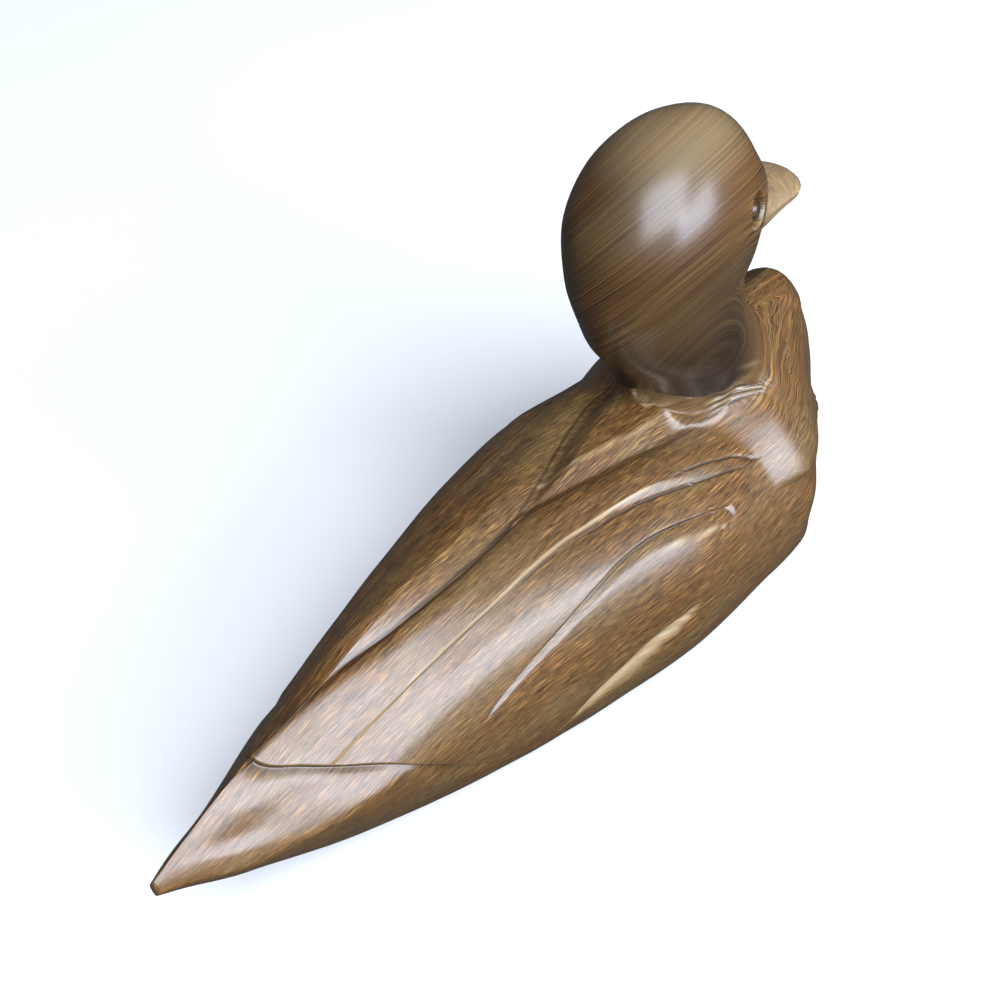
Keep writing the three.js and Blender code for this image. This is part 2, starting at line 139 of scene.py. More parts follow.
# The long feather's crest, and the foot of the narrow slope that falls from it
CREST_ROUTE = [
    (-84, 55), (-80, 53), (-76, 48.5), (-69, 45), (-58, 41), (-49, 38.8), (-38, 35.5), (-24, 33),
    (-13, 31.8), (-2, 30.2), (11, 30), (24, 31), (39, 32.3), (54, 35), (71, 39.2), (90, 45.5),
]
FOOT_ROUTE = [
    (-76, 53.5), (-65, 49.7), (-54, 46), (-43, 42), (-36, 39.5), (-27, 37), (-13, 34.6),
    (-2, 32.5), (11, 32), (24, 32.8), (39, 34.2), (54, 36.9), (71, 41.2), (90, 47.5),
]
QUILL_ROUTE = [
    (-58, 61), (-53, 59), (-46, 57), (-39, 55), (-31, 53), (-24, 52.2), (-14, 52.6), (-4, 55),
    (13, 60.5), (31, 69), (50, 85),
]
SCOOP_ROUTE = [(-42, 90), (-36, 92), (-21, 95), (-9, 101), (4, 110), (16, 126)]
# The line where the wings end above the tail: angle round the body and place along Y
WING_END = [
    (0, 109.5), (5, 109), (28, 100), (57, 88), (93, 66), (120, 48), (133, 33), (180, 10),
]
# Three fine cuts run side by side from the neck along the mantle's slope
NECK_CUT_ROUTE = [(-100, 32.8), (-94, 30.1), (-89, 27.9), (-85, 26.2), (-81, 24.3), (-76, 22)]
NECK_CUT_GAP, NECK_CUT_DEPTH, NECK_CUT_SHARES = 1.3, 0.55, (1, 0.85, 0.5)
# How high above the body the neck's darkened wood (old oil and painted shade) ends, and the gouge
# below it: angle and height
NECK_FOOT = [(-34, 0), (-19, 0.6), (-7, 2.9), (6, 8.2), (13, 9.2), (27, 9), (33, 5.5), (50, 1)]
GOUGE_FOOT = [(-8, 2), (-3.4, 0), (4.4, 0.6), (11.7, 3.6), (18.5, 8.2), (30, 9)]

# Sections of the cuts: distances across them, and how deep the wood is cut at each
MANTLE_SLOPE = ([0, 2.0, 8.2], [2.5, 3.7, 0])
WING_SLOPE = ([0, 2.6, 6, 10], [2.5, 1.5, 0.4, 0])
STEM_LIT_SLOPE = ([0, 1.0, 8.5], [3.7, 3.4, 0])
STEM_DARK_WALL = ([0, 1.5, 3.5, 9.5], [3.7, 2.1, 1.3, 0])
TAIL_STEP = ([0, 0.9, 5, 16], [1.45, 1.5, 0.75, 0])
# The same as shares: of the feather's depth, of the scoop's reach and depth, and of the eye's ring
FEATHER_HOLLOW = ([0, 2.5, 6, 13], [1, 0.72, 0.3, 0])
SCOOP_SECTION = ([0, 0.22, 0.4, 1], [0, 0.75, 1, 0])
EYE_RING = ([2.4, 3.7, 4.8, 5.5], [0, 1, 1, 0])
# How wide the quill's cut is and how far the scoop reaches, at places along Y
QUILL_START, QUILL_WALL = -62, 0.45
QUILL_WIDTH = ([QUILL_START, -52, -30, 0, 44], [6.4, 6.2, 5.2, 3.0, 1.2])
SCOOP_REACH = ([-44, -38, -29, -14, 0, 11, 18], [0, 2.2, 6.7, 10.6, 7.5, 2.5, 0])

# ---------------------------------------------------------------- the smooth form


def smoothstep(value, low, high):
    """Rises smoothly from 0 at low to 1 at high."""
    t = np.clip((value - low) / (high - low), 0, 1)
    return t * t * (3 - 2 * t)


def smooth_table(rows):
    """A smooth curve through each column of a table, whose first column is the place."""
    table = np.array(rows, float)
    places, values = table[:, 0], table[:, 1:]
    gaps = np.diff(places)[:, None]
    slopes = np.diff(values, axis=0) / gaps
    bends = np.zeros_like(values)
    bends[0], bends[-1] = slopes[0], slopes[-1]
    mean = (slopes[:-1] * gaps[1:] + slopes[1:] * gaps[:-1]) / (gaps[1:] + gaps[:-1])
    limit = 3 * np.minimum(np.abs(slopes[:-1]), np.abs(slopes[1:]))
    turns = slopes[:-1] * slopes[1:] <= 0
    bends[1:-1] = np.where(turns, 0, np.clip(mean, -limit, limit))

    def curve(place):
        x = np.clip(place, places[0], places[-1])
        i = np.clip(np.searchsorted(places, x, side="right") - 1, 0, len(places) - 2)
        t = ((x - places[i]) / (places[i + 1] - places[i]))[..., None]
        gap = (places[i + 1] - places[i])[..., None]
        start = (1 + 2 * t) * (1 - t) ** 2 * values[i] + t * (1 - t) ** 2 * gap * bends[i]
        end = t * t * (3 - 2 * t) * values[i + 1] + t * t * (t - 1) * gap * bends[i + 1]
        return np.moveaxis(start + end, -1, 0)

    return curve


def cap_factor(place, cap):
    """How far a section has shrunk where a form rounds off to its end."""
    start, end, roundness = cap
    t = np.clip((place - start) / (end - start), 0, 1)
    return np.maximum(1 - t**roundness, TINY) ** (1 / roundness)


body_row, head_row, bill_row = smooth_table(BODY), smooth_table(HEAD), smooth_table(BILL)
spine_route, mantle_route = smooth_table(SPINE_ROUTE), smooth_table(MANTLE_ROUTE)
crest_route, foot_route = smooth_table(CREST_ROUTE), smooth_table(FOOT_ROUTE)
quill_route, scoop_route = smooth_table(QUILL_ROUTE), smooth_table(SCOOP_ROUTE)
wing_end, neck_cut_route = smooth_table(WING_END), smooth_table(NECK_CUT_ROUTE)
neck_foot = smooth_table(NECK_FOOT)
gouge_foot = smooth_table(GOUGE_FOOT)


def section_distance(across, up, half_across, half_up, roundness):
    """How far a point lies outside a rounded section."""
    part = np.abs(across / half_across) ** roundness + np.abs(up / half_up) ** roundness
    ratio = (part + TINY) ** (1 / roundness)
    return np.hypot(across, up) * (1 - 1 / ratio)


def beyond(value, low, high):
    """How far a place is past the ends of a table, made steep so that the form closes there."""
    return 3 * np.maximum(np.maximum(value - high, low - value), 0)


def body_distance(x, y, z):
    """How far a point lies outside the body alone."""
    width, rise, drop, level, above, below = body_row(y)
    cap = cap_factor(y, BREAST_CAP)
    up = z - level
    half_up = cap * np.where(up > 0, rise, drop)
    roundness = np.where(up > 0, above, below)
    return section_distance(x, up, width * cap, half_up, roundness) + beyond(y, BREAST, TAIL_TIP)


def head_distance(x, y, z):
    """How far a point lies outside the neck and head alone."""
    front, back, width, roundness = head_row(z)
    cap = cap_factor(z, CROWN_CAP)
    along = y - (front + back) / 2
    half_length = cap * (back - front) / 2
    taper = 1 + CHEEK_TAPER * smoothstep(z, *CHEEK_BAND) * along / (half_length + CHEEK_EASE)
    past = beyond(z, HEAD[0][0], CROWN)
    return section_distance(x, along, width * cap * taper, half_length, roundness) + past


def bill_distance(x, y, z):
    """How far a point lies outside the bill alone."""
    along, up = BILL_ROOT_Y - y, z - BILL_ROOT_Z
    width, rise, drop = bill_row(along)
    cap = cap_factor(along, BILL_CAP)
    half_up = np.where(up > 0, rise, drop) * cap**BILL_TIP_ROUND
    past = beyond(along, BILL[0][0], BILL_CAP[1])
    return section_distance(x, up, width * cap, half_up, BILL_ROUND) + past


def filleted_union(a, b, fillet):
    """Joins two forms, and rounds the corner between them off over a fillet."""
    overlap = np.maximum(fillet - np.abs(a - b), 0) / fillet
    return np.minimum(a, b) - overlap * overlap * fillet / 4


def form_distance(x, y, z):
    """How far a point lies outside the smooth bird, before its feathers are cut."""
    fillet = NAPE_FILLET + (NECK_FILLET - NAPE_FILLET) * smoothstep(-y, *FILLET_BAND)
    bird = filleted_union(head_distance(x, y, z), body_distance(x, y, z), fillet)
    bird = filleted_union(bird, bill_distance(x, y, z), BILL_FILLET)
    return -filleted_union(-bird, z, UNDERSIDE_ROUND)


def form_slope(points, step=0.25):
    """The direction out of the smooth form at each point, as long as the form's own slope."""
    slope = np.empty_like(points)
    for axis in range(3):
        ahead, behind = points.copy(), points.copy()
        ahead[..., axis] += step
        behind[..., axis] -= step
        far, near = (form_distance(*np.moveaxis(place, -1, 0)) for place in (ahead, behind))
        slope[..., axis] = (far - near) / (2 * step)
    return slope


def settle(points, passes=3, flattest=0.05):
    """Moves points that lie near the smooth form onto it."""
    for _ in range(passes):
        slope = form_slope(points)
        steepness = np.maximum((slope**2).sum(-1), flattest)
        reach = form_distance(*np.moveaxis(points, -1, 0)) / steepness
        points = points - np.clip(reach, -1, 1)[..., None] * slope
    return points


# ---------------------------------------------------------------- rings and columns

# The rings lie on upright planes along the body, on planes that fan round behind the nape and on
# level planes up the neck. From there to the bill's tip they bend, and so meet the face square.
NAPE_Y, NAPE_Z = -53, 93
NECK_Y, NECK_LOW, NECK_HIGH = -83, 93, 107
LEVEL_SHARE, NECK_SHARE = 0.5, 0.58  # shares of the front rings that fan and lie level
# Rings of the face: share of the way to the bill's tip, place of the middle, directions of the top
# and of the underside as angles from +Y towards +Z, and how wide the ring spreads
FACE_RINGS = [
    (0, NECK_Y, NECK_HIGH, 0, 180, 1),
    (0.3, -84, 120, 35, 192, 1),
    (0.55, -90, 130, 90, 212, 1),
    (0.75, -101, 133.5, 138, 222, 1),
    (0.88, -108, 132.5, 162, 202, 0.8),
    (1, -110, 132, 179, 181, 0.03),
]
face_ring = smooth_table(FACE_RINGS)
TIP_GAP = 0.3  # from the tail's tip to the first ring
RAY_STEP, RAY_HALVINGS = 2.5, 12  # how the surface is searched for along a ray

TAIL_RINGS, STEP_RINGS, WING_RINGS, FRONT_RINGS = 32, 10, 100, 146
RINGS = TAIL_RINGS + STEP_RINGS + WING_RINGS + FRONT_RINGS
STEP_BAND = (3.0, -1.2)  # the closely spaced rings beside the wings' end, behind it and before it
TAIL_CROWDING = 1.15  # how much closer the tail's rings lie towards its tip

# Columns of points follow the cuts along the wings and spread evenly elsewhere. The marks are the
# middle of the back, the mantle, the crest, its foot, the quill, the scoop and the underside.
COLUMN_MARKS = np.array([0, 20, 46, 55, 82, 106, 128])
EVEN_MARKS = np.array([0, 27, 64, 76, 113, 148, 180.0])
LEAST_GAPS = (4.5, 7, 1.4, 7, 7, 10)  # degrees between the marks
HALF_COLUMNS = int(COLUMN_MARKS[-1])
COLUMNS = 2 * HALF_COLUMNS
CROWDING = 0.72  # how closely the columns gather beside the marks
WINGS_FADE = (60, 120)  # the columns leave the cuts between these places on the way to the tail
FRONT_FADE = (0.16, 0.42)  # and over this share of the front rings on the way to the head
RIGHT, LEFT = 1, -1


def surface_reach(origin, direction):
    """How far along each ray the smooth form's surface is."""

    def outside(length):
        return form_distance(*np.moveaxis(origin + direction * length[..., None], -1, 0)) > 0

    low = np.zeros(origin.shape[:-1])
    high = np.full_like(low, RAY_STEP)
    going = np.ones(low.shape, bool)
    while going.any():
        going &= ~outside(high)
        low = np.where(going, high, low)
        high = np.where(going, high + RAY_STEP, high)
    for _ in range(RAY_HALVINGS):
        middle = (low + high) / 2
        out = outside(middle)
        low, high = np.where(out, low, middle), np.where(out, middle, high)
    return low


def upright_frames(y):
    """Frames of upright rings: middle's y and z, directions of the top and underside, spread."""
    zero, one = np.zeros_like(y), np.ones_like(y)
    return np.stack([y, body_row(y)[3], zero, one, zero, -one, one], -1)


def front_frames(shares):
    """Frames from behind the nape (0) to the bill's tip (1)."""
    behind = float(body_row(np.array(float(NAPE_Y)))[3])
    frames = []
    for share in shares:
        if share < NECK_SHARE:
            fan = min(share / LEVEL_SHARE, 1)
            up_y, up_z = math.sin(fan * math.pi / 2), math.cos(fan * math.pi / 2)
            reach = (1 - fan) * (NAPE_Z - behind) + fan * (NAPE_Y - NECK_Y)
            climb = max(share - LEVEL_SHARE, 0) / (NECK_SHARE - LEVEL_SHARE)
            z = NAPE_Z - up_z * reach + climb * (NECK_HIGH - NECK_LOW)
            frames.append((NAPE_Y - up_y * reach, z, up_y, up_z, -up_y, -up_z, 1))
        else:
            way = np.array((share - NECK_SHARE) / (1 - NECK_SHARE))
            y, z, top, underside, spread = face_ring(way)
            top, underside = math.radians(top), math.radians(underside)
            directions = (math.cos(top), math.sin(top), math.cos(underside), math.sin(underside))
            frames.append((y, z, *directions, spread))
    return np.array(frames, float)


def frame_points(frames, angles, side):
    """Surface points at angles round each frame, towards the duck's right or left."""
    y, z, up_y, up_z, down_y, down_z, spread = np.moveaxis(frames, -1, 0)
    sin, cos = np.sin(np.radians(angles)), np.cos(np.radians(angles))
    top, underside = (1 + cos) / 2, (1 - cos) / 2
    along_y, along_z = top * up_y + underside * down_y, top * up_z + underside * down_z
    direction = np.stack(np.broadcast_arrays(-side * sin * spread, along_y, along_z), -1)
    direction /= np.linalg.norm(direction, axis=-1, keepdims=True)
    origin = np.stack(np.broadcast_arrays(np.zeros_like(sin), y, z), -1)
    return origin + direction * surface_reach(origin, direction)[..., None]


def spread_front_frames():
    """Front frames whose rings are about evenly spaced over the surface."""
    trials, widest_share = 400, 0.75
    shares = np.linspace(0, 1, trials)[:-1]
    looks = np.array([0, 45, 90, 135, 180.0])
    points = frame_points(front_frames(shares)[:, None], looks, RIGHT)
    steps = np.linalg.norm(np.diff(points, axis=0), axis=-1)
    travelled = np.cumsum(np.maximum(steps.mean(1), widest_share * steps.max(1)))
    travelled = np.concatenate([[0], travelled])
    goals = travelled[-1] * np.arange(1, FRONT_RINGS + 1) / FRONT_RINGS
    return front_frames(np.interp(goals, travelled, shares))


def body_angle(points):
    """Angle round the body, from the middle of the back to the right, and distance to its axis."""
    x, y, z = np.moveaxis(points, -1, 0)
    up = z - body_row(y)[3]
    return np.degrees(np.arctan2(-x, up)), np.hypot(x, up)


def apart(marks):
    """Keeps the least gaps between the marks of each ring."""
    marks = marks.copy()
    for i, gap in enumerate(LEAST_GAPS[:-1]):
        marks[..., i + 1] = np.maximum(marks[..., i + 1], marks[..., i] + gap)
    for i in range(len(LEAST_GAPS) - 1, 0, -1):
        marks[..., i] = np.minimum(marks[..., i], marks[..., i + 1] - LEAST_GAPS[i])
    return marks


def mark_routes(y, side):
    """Angles of the wing's cuts, towards the right or left."""
    mantle = mantle_route(y)[0] + side * spine_route(y)[0]
    return mantle, crest_route(y)[0], foot_route(y)[0], quill_route(y)[0], scoop_route(y)[0]


def wing_marks(y, side):
    """The marks' angles on an upright ring."""
    cuts = np.stack([np.zeros_like(y), *mark_routes(y, side), np.full_like(y, 180)], -1)
    on_wings = (1 - smoothstep(y, *WINGS_FADE))[..., None]
    return apart(cuts) * on_wings + EVEN_MARKS * (1 - on_wings)


def front_marks(frames, side):
    """The angles at which the front rings meet the wings' cuts."""
    looks = np.linspace(0, 180, 181)
    points = frame_points(frames[:, None], looks, side)
    angle = side * body_angle(points)[0]
    marks = [np.zeros(len(frames))]
    for route in mark_routes(points[..., 1], side):
        past = angle > route
        marks.append(looks[np.where(past.any(1), past.argmax(1), 180)])
    marks = apart(np.stack([*marks, np.full(len(frames), 180.0)], -1))
    weights = np.hanning(13)[1:-1]  # evens a mark out over eleven rings
    smooth = marks.copy()
    for i in range(1, marks.shape[-1] - 1):
        padded = np.pad(marks[:, i], len(weights) // 2, mode="edge")
        smooth[:, i] = np.convolve(padded, weights / weights.sum(), mode="valid")
    leaving, even = (share * FRONT_RINGS for share in FRONT_FADE)
    spread = smoothstep(np.arange(len(frames)), leaving, even)[:, None]
    return smooth * (1 - spread) + EVEN_MARKS * spread


def column_angles(column, marks):
    """The angle of each column in half a ring, where the columns gather beside the marks."""
    after = np.clip(np.searchsorted(COLUMN_MARKS, column, side="left"), 1, len(COLUMN_MARKS) - 1)
    start, end = COLUMN_MARKS[after - 1], COLUMN_MARKS[after]
    part = (column - start) / (end - start)
    part = part - CROWDING * np.sin(2 * math.pi * part) / (2 * math.pi)
    low = np.take_along_axis(marks, (after - 1)[..., None], -1)[..., 0]
    high = np.take_along_axis(marks, after[..., None], -1)[..., 0]
    return low + (high - low) * part


def half_rings(side):
    """Points of every ring over one half of the smooth form, from the tail tip to the bill tip."""
    column = np.arange(HALF_COLUMNS + 1)
    # the ring along the wings' end lies where its columns' own angles say, found by closing in
    end = np.full(len(column), 100.0)
    for _ in range(60):
        end += 0.3 * (wing_end(column_angles(column, wing_marks(end, side)))[0] - end)
    tail = np.linspace(0, 1, TAIL_RINGS)[:, None] ** TAIL_CROWDING
    behind, before = STEP_BAND
    tail_y = (TAIL_TIP - TIP_GAP) * (1 - tail) + (end + behind) * tail
    step_y = end + np.linspace(behind, before, STEP_RINGS + 2)[1:-1, None]
    wing = np.linspace(0, 1, WING_RINGS)[:, None]
    wing_y = (end + before) * (1 - wing) + NAPE_Y * wing
    y = np.concatenate([tail_y, step_y, wing_y])
    angles = column_angles(np.broadcast_to(column, y.shape), wing_marks(y, side))
    body = frame_points(upright_frames(y), angles, side)

    frames = spread_front_frames()
    marks = front_marks(frames, side)[:, None]
    columns = np.broadcast_to(column, (FRONT_RINGS, len(column)))
    angles = column_angles(columns, np.broadcast_to(marks, (*columns.shape, marks.shape[-1])))
    return np.concatenate([body, frame_points(frames[:, None], angles, side)])


# ---------------------------------------------------------------- grain


def relaxed(down, across, rise_down, rise_across):
    """The field over a net whose rises come closest to the wanted ones, solved row by row."""
    wanted, own = (np.zeros((across.shape[0], down.shape[1])) for _ in range(2))
    for share, rise, before, after in (
        (down, rise_down, np.s_[:-1], np.s_[1:]),
        (across, rise_across, np.s_[:, :-1], np.s_[:, 1:]),
    ):
        wanted[after] += share * rise
        wanted[before] -= share * rise
        own[after] += share
        own[before] += share
    rows = []
    for i, (given, total) in enumerate(zip(wanted, own)):
        links = np.diag(total * (1 + 1e-8)) - np.diag(across[i], 1) - np.diag(across[i], -1)
        if i:
            links -= down[i - 1][:, None] * solved * down[i - 1]
            given = given + down[i - 1] * (solved @ rows[-1][1])
        solved = np.linalg.inv(links)
        rows.append((solved, given))
    field = np.zeros_like(wanted)
    for i in reversed(range(len(rows))):
        after = down[i] * field[i + 1] if i + 1 < len(rows) else 0
        field[i] = rows[i][0] @ (rows[i][1] + after)
    return field


def midway(values, axis):
    """Means of neighbours along an axis."""
    values = np.moveaxis(values, axis, 0)
    return np.moveaxis((values[1:] + values[:-1]) / 2, 0, axis)


def grain_net(net):
    """Distances across and along the grain, as it runs over the surface of a net of points."""
    normal = np.cross(np.gradient(net, axis=0), np.gradient(net, axis=1))
    normal /= np.linalg.norm(normal, axis=-1, keepdims=True) + TINY

    def on_surface(direction):
        flat = direction - (direction * normal).sum(-1, keepdims=True) * normal
        return flat / np.maximum(np.linalg.norm(flat, axis=-1, keepdims=True), 0.15)

    x, y, z = np.moveaxis(net, -1, 0)
    near_head = 1 - smoothstep(head_distance(x, y, z), 3, 12)
    on_head = (smoothstep(z, 80, 112) * near_head)[..., None]
    on_body = np.cross(normal, on_surface(np.array(BODY_GRAIN)))
    sideways = on_surface(on_body * (1 - on_head) + np.array(HEAD_AXIS) * on_head)
    along = np.cross(sideways, normal)

    down, across = np.diff(net, axis=0), np.diff(net, axis=1)
    high, wide = (np.linalg.norm(step, axis=-1) + 0.02 for step in (down, across))
    edge = {"mode": "edge"}
    wide_at = midway(np.pad(midway(wide, 0), ((0, 0), (1, 1)), **edge), 1)
    high_at = midway(np.pad(midway(high, 1), ((1, 1), (0, 0)), **edge), 0)
    shares = np.clip(wide_at / high, 0.01, 100), np.clip(high_at / wide, 0.01, 100)
    return np.stack([
        relaxed(*shares, (midway(way, 0) * down).sum(-1), (midway(way, 1) * across).sum(-1))
        for way in (sideways, along)
    ], -1)


def grain_places(halves):
    """The grain's distances for every ring and column, cut apart along the underside."""
    net = np.concatenate([halves[LEFT][:, ::-1], halves[RIGHT][:, 1:]], axis=1)
    rows = np.unique(np.append(np.arange(0, RINGS, 2), RINGS - 1))
    columns = np.unique(np.append(np.arange(0, COLUMNS + 1, 2), COLUMNS))
    places = grain_net(net[np.ix_(rows, columns)])
    places = np.apply_along_axis(lambda line: np.interp(np.arange(RINGS), rows, line), 0, places)
    every = np.arange(COLUMNS + 1)
    return np.apply_along_axis(lambda line: np.interp(every, columns, line), 1, places)


# ---------------------------------------------------------------- carving


def extent(place, start, full, fade, end):
    """Rises from 0 at a cut's start to 1, and falls to 0 again at its end."""
    return smoothstep(place, start, full) * (1 - smoothstep(place, fade, end))


def groove(distance, reach):
    """1 on a line, and falls to 0 at its reach on both sides."""
    return np.clip(1 - np.abs(distance) / reach, 0, 1)


def profile(distance, places, depths):
    """A cut's section, as straight facets from place to place across it."""
    return np.interp(distance, places, depths)


def beside(points, route):
    """Distance from a route along the surface: positive further down the duck's side."""
    angle, radius = body_angle(points)
    y = points[..., 1]
    lean = radius * np.radians(route(y + 0.5)[0] - route(y - 0.5)[0])
    return radius * np.radians(np.abs(angle) - route(y)[0]) / np.hypot(1, lean)


class Carving:
    """What the tools leave at each point of the smooth form."""

    def __init__(self, points):
        # The darkening holds dirt and painted shade in the cuts, and the paling holds wear and
        # painted highlights on edges and lit faces
        self.depth, self.dirt_and_painted_shade, self.wear_and_painted_light = (np.zeros(len(points)) for _ in range(3))

    def cut(self, depth, dirt_and_painted_shade=0.0, wear_and_painted_light=0.0):
        self.depth = self.depth + depth
        self.dirt_and_painted_shade = np.maximum(self.dirt_and_painted_shade, dirt_and_painted_shade)
        self.wear_and_painted_light = np.maximum(self.wear_and_painted_light, wear_and_painted_light)

    def keep(self, share):
        self.depth, self.dirt_and_painted_shade, self.wear_and_painted_light = self.depth * share, self.dirt_and_painted_shade * share, self.wear_and_painted_light * share


def cut_mantle(carving, points):
    """The valleys beside the mantle, which meet at its point and run down the stem as one."""
    y = points[..., 1]
    angle, radius = body_angle(points)
    across = radius * np.radians(angle - spine_route(y)[0])
    half = radius * np.radians(mantle_route(y)[0])
    share = smoothstep(y, -108, -88) * (1 - 0.55 * smoothstep(y, 70, 110))
    on_stem = 1 - smoothstep(half, 0, 3)

    facing_right = profile(half - across, *MANTLE_SLOPE)
    facing_left = profile(half + across, *MANTLE_SLOPE)
    on_mantle = np.abs(across) < half
    wing = profile(np.abs(across) - half, *WING_SLOPE)
    lit_slope, dark_wall = profile(-across, *STEM_LIT_SLOPE), profile(across, *STEM_DARK_WALL)
    stem = np.where(across < 0, lit_slope, dark_wall)
    beyond_mantle = wing * (1 - on_stem) + stem * on_stem
    depth = np.where(on_mantle, np.maximum(facing_right, facing_left), beyond_mantle)
    # Painted shade: the line and the bottom darken the valleys where they face away from the
    # lights; the pale crest line is partly wear and partly a painted highlight
    line = groove(np.abs(across) - half - 0.2 - 0.5 * on_stem, 0.9) * 0.9
    bottom = 0.45 * groove(np.abs(across) - half + 1.6 * (1 - on_stem), 2.6)
    crest = groove(half - across - 8.3, 0.9) * (y < -14) * 0.6
    carving.cut(share * depth, share * np.maximum(line, bottom), share * crest)


def cut_feather(carving, points):
    """The long feather: a crisp crest, a narrow slope that falls to its foot, and a hollow."""
    y = points[..., 1]
    crest, foot = beside(points, crest_route), beside(points, foot_route)
    slope = np.maximum(crest - foot, 0.7)
    share = smoothstep(y, -80, -46) * (1 - smoothstep(y, 84, 96))
    deep = share * (1.75 - 0.45 * smoothstep(y, 20, 80))
    before = 0.55 * share * np.exp(-(((crest + 4.6) / 2.6) ** 2)) * smoothstep(y, -44, -20)
    fall = np.clip(crest / slope, 0, 1)
    hollow = profile(foot, *FEATHER_HOLLOW)
    depth = before + deep * np.where(foot < 0, fall, hollow)
    # Painted shade darkens the foot's line and the front's fine cut; the pale edge along the crest
    # is a painted highlight on a worn arris
    foot_line = groove(foot, 0.75) * extent(y, -78, -70, 30, 92)
    crest_line = groove(crest, 0.7) * extent(y, -85, -79, -58, -42)
    edge = groove(crest - 0.3, 0.8) * smoothstep(y, -48, -30) * share
    carving.cut(
        depth + 0.4 * foot_line * smoothstep(-y, -30, 40) + 0.6 * crest_line,
        np.maximum(foot_line * (0.6 + 0.35 * smoothstep(-y, 0, 40)), crest_line),
        np.where(y < -40, 0.25, 0.9) * edge,
    )


def cut_quill(carving, points):
    """The quill: a gouge with a steep upper side that starts blunt and narrows to a thin line."""
    y = points[..., 1]
    across = beside(points, quill_route)
    width, past_start = profile(y, *QUILL_WIDTH), y - QUILL_START
    blunt = np.sqrt(np.clip(1 - ((across - width / 2) / (width / 2)) ** 2, 0, 1))
    share = smoothstep(past_start - 2.5 * (1 - blunt), 0, 1.6) * (1 - smoothstep(y, 34, 50))
    wall = np.clip(across / QUILL_WALL, 0, 1)
    fall = wall * np.clip((width - across) / (width - QUILL_WALL), 0, 1)
    # The dark line down the steep side is painted shade with dirt; the pale rim is a painted
    # highlight with wear
    line = groove(across - 0.3, 0.8) * smoothstep(y, -54, -38)
    rim = groove(across - width, 0.8) * (1 - smoothstep(y, -34, -14))
    rim = np.maximum(rim, 0.8 * groove(past_start, 1.4) * (blunt > 0))
    carving.cut(share * (1.1 * fall + 0.45 * line), share * line, share * rim * 0.8)


def cut_scoop(carving, points):
    """The scoop low on the wing: it starts softly above and ends at a sharp edge below."""
    y = points[..., 1]
    across = beside(points, scoop_route)
    reach = np.maximum(profile(y, *SCOOP_REACH), 0.01)
    part = np.clip(across / reach, 0, 1)
    depth = profile(part, *SCOOP_SECTION) * np.minimum(reach * 0.34, 3.0)
    wide = smoothstep(reach, 1, 5)
    # Painted shade darkens the hollow's upper side, and painted light pales the lower face that
    # turns up to the lights
    shade = groove(part - 0.2, 0.24) * wide * 0.8
    pale = extent(part, 0.3, 0.6, 0.72, 1.0) * wide * 0.7
    carving.cut(1.15 * depth, shade, pale)


def cut_tail_step(carving, points):
    """The step down from the wings to the tail, and the tail's hollow sides."""
    y = points[..., 1]
    angle = np.abs(body_angle(points)[0])
    behind = y - wing_end(angle)[0]
    around = 1 - smoothstep(angle, 112, 146)
    on_tail = smoothstep(behind, -0.25, 0.45)
    pocket = 1 + 0.5 * np.exp(-((angle / 16) ** 2))
    step = profile(behind, *TAIL_STEP) * on_tail * pocket
    side = np.exp(-(((angle - 46) / 24) ** 2)) * extent(behind, 2, 18, 26, 42)
    carving.keep(1 - on_tail)
    # Painted shade darkens the step's foot and the hollow just behind it; the wings' edge is paled
    # by wear
    carving.cut(
        step * around + 0.9 * side,
        around * np.maximum(groove(behind - 0.6, 0.9), 0.5 * groove(behind - 1.5, 3.5)),
        around * groove(behind + 0.5, 0.6) * 0.25,
    )


def cut_neck(carving, points):
    """The gouge round the foot of the nape, the corner above it and the three fine cuts."""
    x, y, z = np.moveaxis(points, -1, 0)
    angle = body_angle(points)[0]
    off_neck, off_body = head_distance(x, y, z), body_distance(x, y, z)
    high, low = neck_foot(angle)[0], gouge_foot(angle)[0]
    behind = 1 - smoothstep(-y, 74, 80)
    on_nape = behind * (off_neck < 2.5) * smoothstep(angle, -7, -5)
    # Painted shade darkens the corner where the neck meets the body and the gouge's top edge;
    # painted light, with wear, pales the gouge and its lower rim
    corner = np.clip(1 - (np.abs(off_neck) + np.abs(off_body)) / 3.2, 0, 1)
    seam = corner * (1 - smoothstep(-y, 88, 104)) * (1 - extent(angle, -9, -5, 26, 34))
    width = np.maximum(high - low, 0.1)
    gouge = groove(off_body - (high + low) / 2, width / 2) * on_nape * smoothstep(width, 0.3, 2)
    rim = groove(off_body - low + 0.3, 0.6) * extent(angle, -2, 3, 12, 18) * on_nape
    edge = groove(off_body - high, 0.7) * on_nape
    carving.cut(np.minimum(gouge * 2.5, 1), np.maximum(seam * 0.9, edge * 0.6), 0.9 * rim)
    carving.wear_and_painted_light = np.maximum(carving.wear_and_painted_light, 0.3 * (gouge > 0.08))
    corner = np.exp(-(((off_neck + off_body) / 3.2) ** 2)) * extent(angle, 2, 12, 28, 40)
    carving.cut(-1.5 * corner * (1 - smoothstep(-y, 92, 104)))
    # Painted shade darkens the three fine cuts, and painted highlights pale the narrow facets
    # beside them
    for number, share in enumerate(NECK_CUT_SHARES):
        cut = beside(points, neck_cut_route) - number * NECK_CUT_GAP
        line = share * groove(cut, 0.6) * extent(y, -102, -97, -81, -75) * (angle > 0)
        facet_highlight = share * groove(cut - 0.65, 0.5) * extent(y, -102, -97, -81, -75) * (angle > 0)
        carving.cut(NECK_CUT_DEPTH * line, line, 0.8 * facet_highlight)


